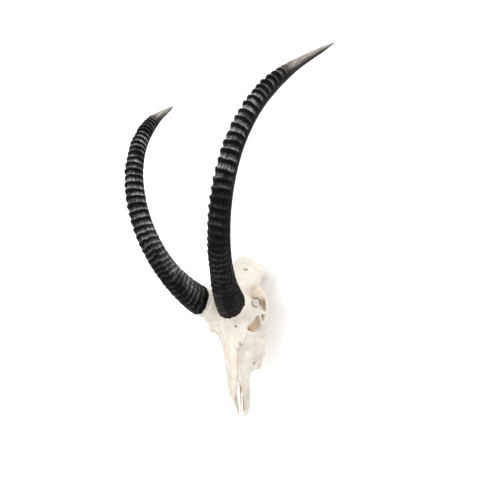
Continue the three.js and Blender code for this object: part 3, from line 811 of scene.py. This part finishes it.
def horn_material():
    """Keratin: near-black, grey painted highlights on the ring crests, a paler tip, brown at the rim and
    in fibres.
    """
    made, tree, shader, where = material("Horn keratin")
    grain_at = attribute(tree, "grain", "Vector")
    fibres = placed(tree, MOTTLING, Vector=grain_at, Scale=6.5, Low=0.42, High=0.64)
    patches = placed(tree, MOTTLING, Vector=where, Scale=26, Low=0.38, High=0.66)
    crest = attribute(tree, "crest")
    # Painted highlights on the ring crests, and the frayed inner side
    highlight_and_fraying = sum_of(tree, sum_of(tree, crest, spread(tree, fibres, 0, 1, 0.3, 1), "MULTIPLY"),
                  spread(tree, patches, 0, 1, 0.12, 1.0), "MULTIPLY", True)
    colour = mixed(tree, highlight_and_fraying, HORN_BLACK, HORN_GLINT_GREY)
    # Paler tip: its own colour, with painted highlight on its front
    pale = sum_of(tree, attribute(tree, "tip"), spread(tree, fibres, 0, 1, 0.3, 1), "MULTIPLY")
    colour = mixed(tree, pale, colour, HORN_TIP)
    rim = attribute(tree, "rim")
    colour = mixed(tree, sum_of(tree, rim, spread(tree, patches, 0, 1, 0.4, 1), "MULTIPLY", True),
                   colour, HORN_BROWN)
    tree.links.new(colour, shader.inputs["Base Color"])
    tree.links.new(spread(tree, fibres, 0, 1, 0.36, 0.52), shader.inputs["Roughness"])
    grain = placed(tree, GRAIN, Vector=grain_at, Scale=14, Pores=0.25)
    bump(tree, shader, sum_of(tree, grain, fibres), 0.0005, 0.7)
    tree.links.new(spread(tree, highlight_and_fraying, 0, 0.5, 0.035, 0.5), shader.inputs["Specular IOR Level"])
    return made


ENAMEL_PALE, ENAMEL_TAN, DENTINE = (0.74, 0.71, 0.64), (0.52, 0.42, 0.29), (0.22, 0.13, 0.07)


def enamel_material():
    """Tooth enamel: ivory with tan tartar between the ribs and dark dentine in the chewing face."""
    made, tree, shader, where = material("Tooth enamel")
    patches = placed(tree, MOTTLING, Vector=where, Scale=120, Low=0.4, High=0.65)
    colour = mixed(tree, sum_of(tree, patches, 0.5, "MULTIPLY"), ENAMEL_PALE, ENAMEL_TAN)
    colour = mixed(tree, attribute(tree, "tan_mask"), colour, ENAMEL_TAN)
    colour = mixed(tree, attribute(tree, "deep"), colour, DENTINE)
    tree.links.new(colour, shader.inputs["Base Color"])
    tree.links.new(spread(tree, patches, 0, 1, 0.25, 0.5), shader.inputs["Roughness"])
    bump(tree, shader, placed(tree, GRAIN, Vector=where, Scale=500, Pores=0.3), 0.0002, 0.5)
    return made


BONE, KERATIN, ENAMEL = bone_material(), horn_material(), enamel_material()


# Pieces

def near(points, centre, size, mirrored=True):
    """A soft spot, 1 at the centre and e^-1 at its size; on both sides of the skull or one."""
    p = points.copy()
    if mirrored:
        p[:, 0] = np.abs(p[:, 0])
    return np.exp(-(((p - centre) / size) ** 2).sum(1))


# Spots of colour on the bone: share, centre, size along x, y and z, whether on both sides
TAN_SPOTS = [
    # Painted shade in the temporal fossae
    (0.75, (62, 330, 84), (9, 14, 16), True),
    (0.75, (37, 310, 76), (9, 12, 16), True),
    (0.6, (-75, 225, 114), (9, 13, 13), False),
    (0.2, (-50, 243, 141), (16, 10, 12), False),
    (0.1, (50, 243, 141), (16, 10, 12), False),
    (0.35, (20, 389, 96), (9, 5, 9), False),
]
BROWN_SPOTS = [
    # Painted shade in and round openings, in the muzzle's slots (there with some dried tissue) and under
    # the orbit
    (1.0, (30, 228, 126), (3.6, 3.6, 12), False),
    (0.8, (47, 140, 46), (5.5, 4.5, 5), True),
    (0.9, (52, 225, 96), (4, 4, 5), True),
    (0.9, (30, 185, 99), (2, 4.5, 5), False),
    (0.6, (0, 405, 64), (11, 14, 11), True),
    (1.4, (12, 56, 27), (6, 12, 10), False),
    (1.4, (12, 28, 23), (6, 8, 9), False),
    (0.3, (74, 266, 74), (5, 6, 7), True),
]


def spots(points, table):
    """The sum of the soft spots in a table."""
    return sum(share * near(points, centre, size, both) for share, centre, size, both in table)


def bone_masks(points, normal, hollow):
    """Masks from 0 to 1 at the points: tan stain and painted shade, deep brown painted shade, and the
    greyer face.

    Tan lies where the surface is hollow, in the orbits, the nose and the temples, in lengthwise
    bands along the muzzle and on what faces down; it is painted shade there, in the bands partly so,
    and stain with painted shade on the inner sides of the muzzle. Brown is painted shade in the
    openings and round the hole in the temple.
    """
    x, y, z = points.T
    side = np.abs(x)
    out, rim, depth = orbit_polar([side, y, z])
    # Painted shade inside the orbit: set by the way each wall faces, stronger on its upper inner side
    outward = normal @ [0, 0.1, -0.56] + 0.82 * normal[:, 0] * np.sign(x)
    orbit_shade = (0.25 + 0.75 * smoothstep(outward, -0.45, 0)) * smoothstep(0.9 - out / rim, 0, 0.1)
    orbit_shade *= smoothstep(depth, 5, 10) * (depth < 45)
    orbit_shade *= 0.45 + 0.55 * smoothstep(z - 0.5 * (y - 240), 84, 98)
    # Painted shade just below the orbit's raised rim
    under_orbit_shade = near(points, (77, 256, 76), (6, 16, 11)) * smoothstep(out, rim, rim + 4)
    # Painted shade inside the nasal passage; brown painted shade under its roof
    nose_shade = smoothstep(20 - side, 0, 4) * smoothstep(z, 30, 36) * smoothstep(200 - y, 0, 20)
    nose_shade *= (normal[:, 2] * np.sign(z - 58) < 0.2) * (y > 70) * (z < 82)
    # Inner faces of the premaxillae: stain of dried tissue, with painted shade
    inner_muzzle = smoothstep(normal[:, 0] * -np.sign(x), 0.1, 0.6) * smoothstep(y, 40, 90) * (
        y < 125) * (z < 60)
    middle_strip = (side < 9.5) * (y < 115) * (z < 40)
    # Painted shade round the hole in the temple; on the ledge behind the arch, painted shade and stain
    from_hole = np.maximum(rod_field(*TEMPLE_HOLE, [side, y, z]), 0)
    temple_hole_shade = smoothstep(5.5 - from_hole, 0, 4) * smoothstep(side, 36, 44)
    ledge = near(points, (74, 297, 72), (9, 13, 11)) * smoothstep(83 - side, 0, 3)
    # Lengthwise tan bands along the muzzle: the shade of low ridges painted as colour, and more on the
    # right side as painted shade
    lengthwise = wave_noise(points * [1, 0.1, 0.6], 11, 8, 3)
    banded = smoothstep(lengthwise, -0.2, 1.1) * smoothstep(205 - y, 0, 40) * smoothstep(
        30 - side, 0, 8) * (0.35 + 0.15 * (x < 0))
    # Painted shade on what faces down
    down_facing_shade = smoothstep(-normal[:, 2], 0.3, 0.9)
    # Tan sum: the hollow term is painted shade in hollows
    tan_mask = (0.55 * smoothstep(hollow, 0.12, 0.8) + orbit_shade + 0.75 * under_orbit_shade + 0.8 * nose_shade
             + 0.6 * inner_muzzle + 0.3 * middle_strip + temple_hole_shade + 1.3 * ledge + banded
             + 0.3 * down_facing_shade + spots(points, TAN_SPOTS))
    deep = (0.75 * temple_hole_shade + 0.75 * ledge + 0.5 * nose_shade * smoothstep(z, 60, 78)
            + spots(points, BROWN_SPOTS))
    face = 0.25 + 0.75 * smoothstep(315 - y, 0, 90)
    return [("tan_mask", np.clip(tan_mask, 0, 1)), ("deep", np.clip(deep, 0, 1)), ("face", face)]


def suture_distances(points, normal):
    """Signed distances in mm to the sutures, each only where it runs, and FAR elsewhere."""
    x, y, z = points.T
    side = np.abs(x)
    top = normal[:, 2] > 0.1
    nape = np.interp(side, [0, 30, 55], [411, 405, 386])
    notch = np.where(side < 24, 201 - 1.33 * side, 169 + 1.5 * (side - 24))
    nasal_edge = np.interp(y, [94, 105, 169], [17.5, 18, 24])
    premax_edge = np.interp(z, [34, 72], [86, 108])
    runs = [
        ("seam_mid", top & (y > 60) & (y < 372), x),
        ("seam_nape", (z > 56) & (y > 378), (y - nape) * 0.9),
        ("seam_frontal", top & (side < 56) & (z > 60), (y - notch) * 0.6),
        ("seam_cheek", (y < 170) & (y > 92) & (z > 66), side - nasal_edge),
        ("seam_premax", (side > 15) & (z > 34) & (z < 78), (y - premax_edge) * 0.85),
    ]
    return [(name, np.where(there, distance, FAR)) for name, there, distance in runs]


def cranium():
    """The field's surface, relaxed, with fine unevenness along its normals and masks for colour."""
    points, quads = net_surface(skull_field())
    points = relaxed(points, quads, 3)
    normal = normals_of(points, quads)
    hollow = ((relaxed(points, quads, 16, 0.6) - points) * normal).sum(1)
    masks = bone_masks(points, normal, hollow) + suture_distances(points, normal)
    uneven = 0.35 * wave_noise(points, 34, 3) + 0.12 * wave_noise(points, 9, 4)
    points = points + normal * uneven[:, None]
    add_mesh("skull_bone", points, quads, BONE, "cranium", masks)


def ring_starts(side):
    """Where the rings start along the horn: close near the rim, then wide apart."""
    starts = [RING_FIRST * HORN_LENGTH]
    while starts[-1] < RING_LAST[side] * HORN_LENGTH:
        grown = smoothstep(starts[-1] / HORN_LENGTH, 0.12, 0.34)
        starts.append(starts[-1] + RING_CLOSE + (RING_WIDE - RING_CLOSE) * grown)
    return np.array(starts)


def outwards(points, triangles):
    """The triangles, turned over if they enclose a negative volume."""
    a, b, c = (points[triangles[:, k]] for k in range(3))
    return triangles if (a * np.cross(b, c)).sum() > 0 else triangles[:, ::-1]


HORN_ROWS, HORN_COLUMNS = 780, 96
GRAIN_PITCH = 0.0035  # the fibres' pattern is stretched along the horn
FRAYED_RIM = 1.3  # mm: how far the edge of the sheath is eaten back, on average
# Painted highlight on the ring crests: at the rim, how much is added, and the shares of the length
# between which it is added; then the frayed inner side near the rim, mostly painted highlight on its
# ledges
CREST_HIGHLIGHT = {1: (0.06, 1.25, 0.25, 0.65), -1: (0.07, 1.0, 0.12, 0.5)}
INNER_FRAYING_AND_GLINT = {1: 0.1, -1: 0.5}


def horn(side):
    """A tube along the horn's middle line whose radius is raised by rings.

    Each ring climbs slowly to a sharp crest and drops to the next; the rings wander up and down
    round the horn, are full on its front and sides and die out at its back. Low lengthwise
    ridges run between them.
    """
    s, turn = np.meshgrid(np.linspace(RIM_START[side], HORN_LENGTH, HORN_ROWS),
                          np.linspace(0, 2 * np.pi, HORN_COLUMNS, endpoint=False), indexing="ij")
    u = s / HORN_LENGTH
    around = np.stack([26 * np.cos(turn), 26 * np.sin(turn), s * 0.55], -1)
    seed = 20 + side
    lower = 1 - smoothstep(u, 0.1, 0.36)
    moved = s + (1.6 + 1.8 * lower) * wave_noise(around, 70, seed, 3)
    starts = ring_starts(side)
    i = np.clip(np.searchsorted(starts, moved) - 1, 0, len(starts) - 2)
    t = np.clip((moved - starts[i]) / (starts[i + 1] - starts[i]), 0, 1)
    t = np.where((moved < starts[0]) | (moved > starts[-1]), 0, t)
    crest = np.where(t < CREST_AT, (t / CREST_AT) ** 1.25, ((1 - t) / (1 - CREST_AT)) ** 1.6)
    fading = 1 - smoothstep(u, RING_LAST[side] - 0.06, RING_LAST[side] + 0.02)
    height = (1.0 + 2.8 * smoothstep(u, 0.14, 0.46)) * fading
    height *= 1 - 0.7 * smoothstep(u, 0.72, 0.86)
    height *= 1 + 0.22 * wave_noise(around * [1, 1, 1.5], 45, seed + 5, 2)
    facing = smoothstep(np.cos(turn + BACK_TURN), -0.6, 0.2)
    relief = height * facing * (1.5 * crest - 0.65)
    ridge_at = np.stack([60 * np.cos(turn), 60 * np.sin(turn), s * 0.08], -1)
    ridges = wave_noise(ridge_at, 13, seed + 9, 2)
    relief += ridges * (0.22 + 0.3 * lower) * (0.35 + 0.65 * fading)
    relief += 0.5 * lower * wave_noise(around * [1, 1, 2.2], 16, seed + 11, 2)
    eaten = np.maximum(FRAYED_RIM * (1 + wave_noise(around, 24, seed + 13, 2)), 0)
    eaten *= 1 - smoothstep(s - RIM_START[side], 0, 6)
    whole, triangles = capped_tube(horn_points(s + eaten, turn, relief, side))

    # Painted highlights on each ring's ledge and just past it, on the front, brighter further up the
    # horn
    ledge = smoothstep(t, CREST_AT - 0.12, CREST_AT + 0.06) * (1 - smoothstep(t, 0.9, 1.0))
    after = (1 - smoothstep(t, 0, 0.3)) * (moved > starts[0])
    inner = smoothstep(-np.sin(turn) - 0.35 * np.cos(turn), 0.45, 0.95)
    frayed = inner * lower * smoothstep(u, 0.02, 0.1)
    least, more, from_u, to_u = CREST_HIGHLIGHT[side]
    lit = least + more * smoothstep(u, from_u, to_u)
    highlight_and_fraying = (ledge + 0.45 * after) * facing * fading * lit
    highlight_and_fraying += INNER_FRAYING_AND_GLINT[side] * frayed * (0.3 + 0.7 * ledge)
    # Paler tip: its own colour, with painted highlight on its front
    tip = smoothstep(u, 0.72, 0.84) * (0.04 + 0.96 * smoothstep(np.cos(turn), -0.35, 0.55))
    rim = 0.7 * (1 - smoothstep(s - RIM_START[side], 1, 20)) * (side > 0)
    grain = np.stack([np.cos(turn), np.sin(turn), s * GRAIN_PITCH], -1).reshape(-1, 3)
    masks = [("grain", np.concatenate([grain, grain[:1], grain[-1:]]))]
    for name, mask, ends in (("crest", highlight_and_fraying, (0, 0)), ("tip", tip, (0, 0.8)), ("rim", rim, (0.4, 0.4))):
        masks.append((name, np.concatenate([mask.ravel(), ends])))
    word = SIDES[side]
    add_mesh(f"{word}_horn_sheath", whole, outwards(whole, triangles), KERATIN,
             f"{word}_horn", masks)


# Upper cheek teeth from front to back: name, length along the row, width across it
TEETH = [("premolar_2", 10, 10), ("premolar_3", 12, 13), ("premolar_4", 13, 15),
         ("molar_1", 17, 17), ("molar_2", 21, 18), ("molar_3", 21, 16)]
ROW_START, ROW_LEAN = (38, 125), 0.055  # x and y where the rows start; they drift apart backwards
# Down the crown, then in over the chewing face: share of the outline, height, dentine, tartar
TOOTH_RINGS = np.array([
    (0.90, 21, 0, 0.8), (0.93, 17, 0, 0.8), (0.97, 14, 0, 0.7), (1.0, 10, 0, 0.3), (1.0, 6, 0, 0.1),
    (0.98, 3, 0, 0.0), (0.95, 1.2, 0, 0.0), (0.90, 0.3, 0, 0.1), (0.84, 0.0, 0.2, 0.2),
    (0.76, 0.9, 0.8, 0.5), (0.66, 1.3, 0.9, 0.5), (0.58, 0.5, 0.2, 0.3), (0.52, 0.2, 0.0, 0.2),
    (0.44, 0.8, 0.6, 0.4), (0.32, 2.6, 1.0, 1.0), (0.16, 3.4, 1.0, 1.0), (0.03, 3.6, 1.0, 1.0)])


def tooth(name, length, width, y, side):
    """A ribbed outline carried down the crown and in over the chewing face."""
    columns, rows = 72, 60
    turn = np.linspace(0, 2 * np.pi, columns, endpoint=False)
    rings = catmull(TOOTH_RINGS, np.linspace(0, len(TOOTH_RINGS) - 1, rows))
    pinch = 1 - 0.13 * np.cos(2 * turn + np.pi) if length > 15 else 1 + 0 * turn
    ribs = 1 + 0.045 * np.cos(7 * turn) * (np.cos(turn) * side > 0) + 0.02 * np.cos(11 * turn + 1)
    across = 0.5 * width * pinch * ribs * np.cos(turn)
    lengthwise = (0.5 * length - 0.25) * np.sign(np.sin(turn)) * np.abs(np.sin(turn)) ** 0.75
    middle = y + 0.5 * length
    x = side * (ROW_START[0] + ROW_LEAN * (middle - ROW_START[1]) + 0.35 * width - 4)
    share = rings[:, :1]
    points = np.stack([x + across * share, middle + lengthwise * share,
                       np.maximum(rings[:, 1:2], 0) + 0 * turn], -1)
    whole, triangles = capped_tube(points)
    masks = [(key, np.concatenate([np.clip(np.repeat(rings[:, k], columns), 0, 1), [0, 1]]))
             for key, k in (("deep", 2), ("tan_mask", 3))]
    add_mesh(f"{name}_tooth", whole, outwards(whole, triangles), ENAMEL, name, masks)


cranium()
for side, word in SIDES.items():
    horn(side)
    start = ROW_START[1]
    for kind, length, width in TEETH:
        tooth(f"{word}_{kind}", length, width, start, side)
        start += length


# Camera, floor and light

CAMERA_AT = (610.67, 156.39, 948.23)
CAMERA_AZIMUTH, CAMERA_ELEVATION, CAMERA_ROLL = np.radians([36.04, 17.04, 6.22])
CAMERA_LENS = 374.95 / 480 * 36  # focal length in pixels of a 480-pixel frame, on a 36 mm sensor


def make_camera():
    """The camera in the skull's frame, from its azimuth, elevation and roll, turned with the skull."""
    a, e, roll = CAMERA_AZIMUTH, CAMERA_ELEVATION, CAMERA_ROLL
    forward = -np.array([np.sin(a) * np.cos(e), -np.sin(e), np.cos(a) * np.cos(e)])
    right = np.cross(forward, [0, 1, 0])
    right /= np.linalg.norm(right)
    up = np.cross(right, forward)
    right, up = (right * np.cos(roll) + up * np.sin(roll), up * np.cos(roll) - right * np.sin(roll))
    data = bpy.data.cameras.new("Camera")
    data.lens = CAMERA_LENS
    data.sensor_width = 36
    data.clip_start, data.clip_end = 0.05, 50
    camera = bpy.data.objects.new("Camera", data)
    bpy.context.scene.collection.objects.link(camera)
    matrix = np.eye(4)
    matrix[:3, :3] = np.stack([tipped(right), tipped(up), tipped(-forward)], -1)
    matrix[:3, 3] = to_row(CAMERA_AT)
    camera.matrix_world = Matrix(matrix.tolist())
    bpy.context.scene.camera = camera


def add_light(name, place, target, size, energy):
    """A square area light at a place, turned to a target."""
    data = bpy.data.lights.new(name, "AREA")
    data.energy, data.size = energy, size
    light = bpy.data.objects.new(name, data)
    bpy.context.scene.collection.objects.link(light)
    back = np.array(place, float) - target
    back /= np.linalg.norm(back)
    across = np.cross([0, 1, 0.01], back)
    across /= np.linalg.norm(across)
    matrix = np.eye(4)
    matrix[:3, :3] = np.stack([across, np.cross(back, across), back], -1)
    matrix[:3, 3] = place
    light.matrix_world = Matrix(matrix.tolist())


FLOOR_REACH = 12
FLOOR_WHITE = (0.93, 0.93, 0.925, 1)


def floor():
    """A wide pale floor under the skull."""
    mesh = bpy.data.meshes.new("Floor")
    corners = [(x * FLOOR_REACH, y * FLOOR_REACH, 0) for x, y in ((-1, -1), (1, -1), (1, 1), (-1, 1))]
    mesh.from_pydata(corners, [], [(0, 1, 2, 3)])
    made, tree, shader, where = material("Pale floor")
    shader.inputs["Base Color"].default_value = FLOOR_WHITE
    shader.inputs["Roughness"].default_value = 0.9
    mesh.materials.append(made)
    thing = bpy.data.objects.new("Floor", mesh)
    bpy.context.scene.collection.objects.link(thing)


# Name, place, target, size of the square and power
LIGHTS = [("Key", (-0.7, 1.1, 2.5), (0, 0.05, 0.15), 2.0, 50),
          ("Right", (1.8, 0.3, 1.7), (0, -0.1, 0.1), 1.8, 22),
          ("Front", (-0.6, -1.9, 1.5), (0, 0, 0.1), 1.4, 10)]
WORLD_STRENGTH = 0.9

make_camera()
floor()
for light in LIGHTS:
    add_light(*light)
world = bpy.data.worlds.new("Studio")
world.use_nodes = True
background = world.node_tree.nodes["Background"]
background.inputs["Color"].default_value = (1, 1, 1, 1)
background.inputs["Strength"].default_value = WORLD_STRENGTH
bpy.context.scene.world = world
bpy.context.scene.view_settings.view_transform = "Standard"
